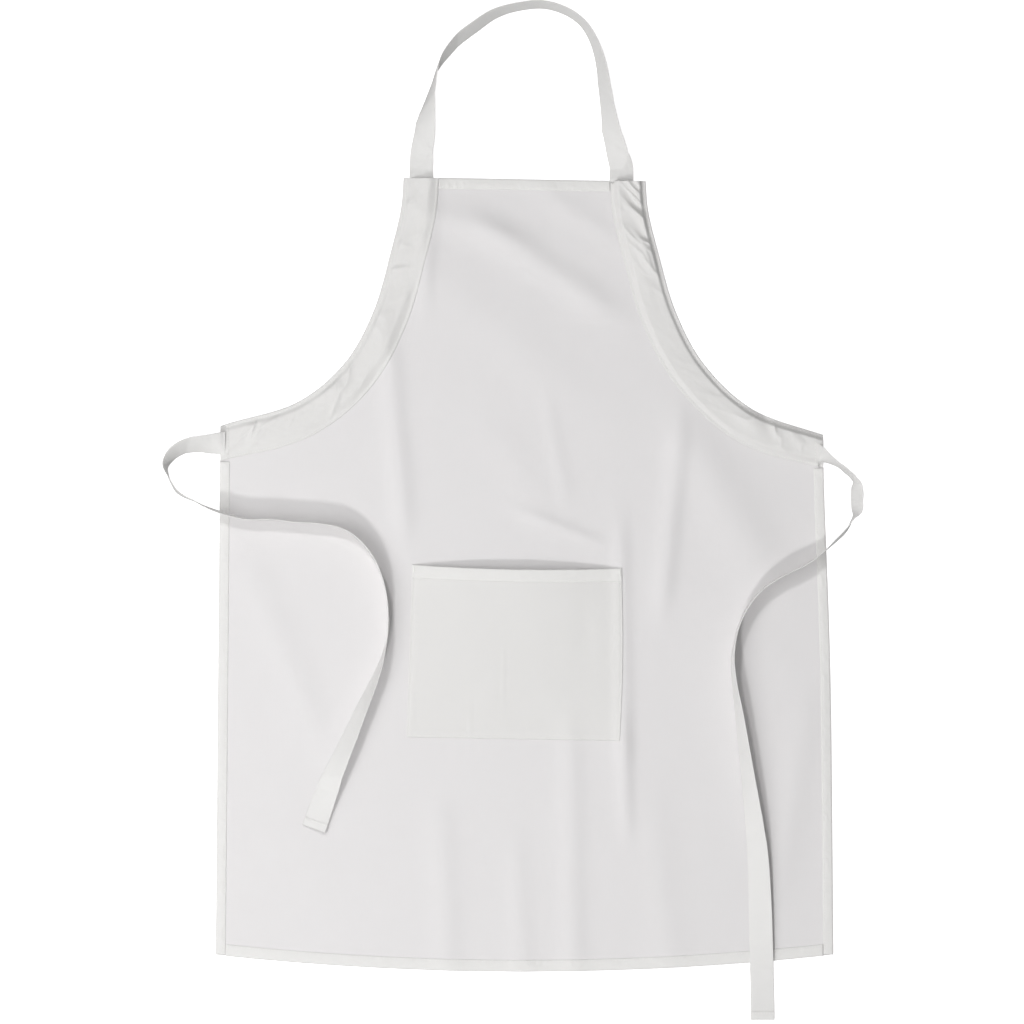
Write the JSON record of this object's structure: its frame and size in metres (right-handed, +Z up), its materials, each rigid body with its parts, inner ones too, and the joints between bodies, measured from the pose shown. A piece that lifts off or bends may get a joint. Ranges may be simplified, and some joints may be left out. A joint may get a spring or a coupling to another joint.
{
  "type": "bib apron",
  "caption": "White cotton bib apron lying flat, with a patch pocket, armhole facings that hold a flat tape, a neck loop and two long waist ties.",
  "frame": {"origin": "on the surface that the apron lies on, under the middle of the cloth panel's footprint", "axes": "+Z up off that surface and out of the apron's face, +Y towards the neck, +X to the right as seen from above"},
  "size_m": [0.793, 1.1554, 0.0305],
  "materials": {
    "cotton": "matt plain-weave cotton",
    "twill_tape": "matt herringbone twill tape",
    "thread": "soft-sheen spun thread"
  },
  "bodies": {
    "skirt": {"skirt_panel": "cotton", "bottom_hem": "cotton", "bottom_stitching": "thread", "left_side_hem": "cotton", "right_side_hem": "cotton", "left_side_stitching": "thread", "right_side_stitching": "thread", "left_facing_end": "cotton", "right_facing_end": "cotton", "left_facing_end_tape": "twill_tape", "right_facing_end_tape": "twill_tape", "left_facing_end_outer_stitching": "thread", "left_facing_end_inner_stitching": "thread", "right_facing_end_outer_stitching": "thread", "right_facing_end_inner_stitching": "thread", "pocket_panel": "cotton", "pocket_hem": "cotton", "pocket_stitching": "thread", "pocket_hem_stitching": "thread", "left_pocket_tack": "thread", "right_pocket_tack": "thread", "left_tie_root": "twill_tape", "right_tie_root": "twill_tape"},
    "bib": {"bib_panel": "cotton", "bib_top_hem": "cotton", "bib_top_stitching": "thread", "left_facing": "cotton", "right_facing": "cotton", "left_facing_tape": "twill_tape", "right_facing_tape": "twill_tape", "left_facing_outer_stitching": "thread", "left_facing_inner_stitching": "thread", "right_facing_outer_stitching": "thread", "right_facing_inner_stitching": "thread"},
    "neck_loop": {"neck_strap": "twill_tape"},
    "left_waist_tie": {"left_tie": "twill_tape", "left_tie_end_hem": "twill_tape"},
    "right_waist_tie": {"right_tie": "twill_tape", "right_tie_end_hem": "twill_tape"}
  },
  "joints": [
    {"name": "bib_fold", "type": "hinge", "parent": "skirt", "child": "bib", "pos_m": [0, 0.17, 0.015], "axis": [1, 0, 0], "range_deg": [0, 120]},
    {"name": "neck_loop_fold", "type": "hinge", "parent": "bib", "child": "neck_loop", "pos_m": [0, 0.4505, 0.003], "axis": [1, 0, 0], "range_deg": [0, 150]},
    {"name": "left_tie_swing", "type": "hinge", "parent": "skirt", "child": "left_waist_tie", "pos_m": [-0.4055, 0.115, 0], "axis": [0, 0, 1], "range_deg": [-120, 0]},
    {"name": "right_tie_swing", "type": "hinge", "parent": "skirt", "child": "right_waist_tie", "pos_m": [0.373, 0.064, 0], "axis": [0, 0, 1], "range_deg": [0, 120]}
  ]
}
